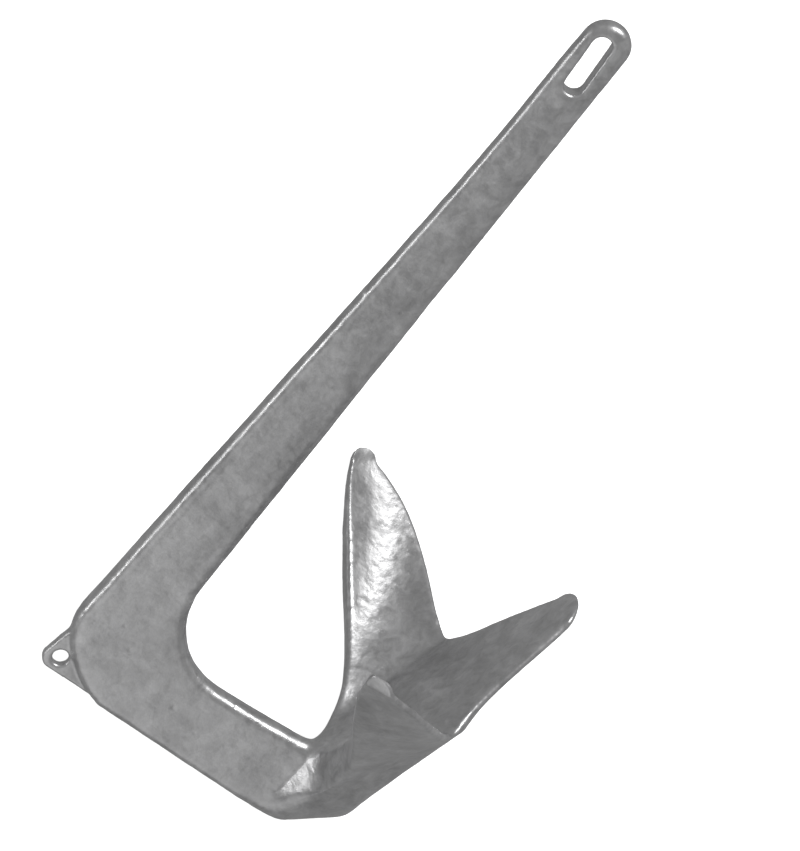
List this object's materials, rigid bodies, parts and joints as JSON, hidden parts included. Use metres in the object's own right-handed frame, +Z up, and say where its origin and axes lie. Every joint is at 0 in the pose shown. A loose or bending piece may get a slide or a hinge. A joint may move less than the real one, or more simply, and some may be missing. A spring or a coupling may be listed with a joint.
{
  "type": "boat_anchor",
  "caption": "Claw-pattern boat anchor, hot-dip galvanised casting: slotted flat shank, rounded heel with tripping lug, heavy crown and a three-fluke palm, lying on its side",
  "frame": {"origin": "centre of the bounding box footprint, on the floor the anchor lies on", "axes": "+X is the way the shank runs from heel to eye, seen from above; +Z is up from the floor; -Y points from the shank towards the flukes; the starboard side of the anchor faces up"},
  "size_m": [0.358, 0.2106, 0.3194],
  "materials": {
    "zinc_shank_eye": "hot-dip galvanised, satin with faint spangle",
    "zinc_shank_bar": "hot-dip galvanised, satin with faint spangle",
    "zinc_heel_bend": "hot-dip galvanised, satin with faint spangle",
    "zinc_tripping_lug": "hot-dip galvanised, satin with faint spangle",
    "zinc_arm": "hot-dip galvanised, satin with faint spangle",
    "zinc_crown": "hot-dip galvanised, satin with faint spangle",
    "zinc_centre_fluke": "hot-dip galvanised, satin with faint spangle",
    "zinc_port_fluke": "hot-dip galvanised, satin with faint spangle",
    "zinc_starboard_fluke": "hot-dip galvanised, satin with faint spangle"
  },
  "bodies": {
    "root": {"shank_eye": "zinc_shank_eye", "shank_bar": "zinc_shank_bar", "heel_bend": "zinc_heel_bend", "tripping_lug": "zinc_tripping_lug", "arm": "zinc_arm", "crown": "zinc_crown", "centre_fluke": "zinc_centre_fluke", "port_fluke": "zinc_port_fluke", "starboard_fluke": "zinc_starboard_fluke"}
  },
  "joints": []
}
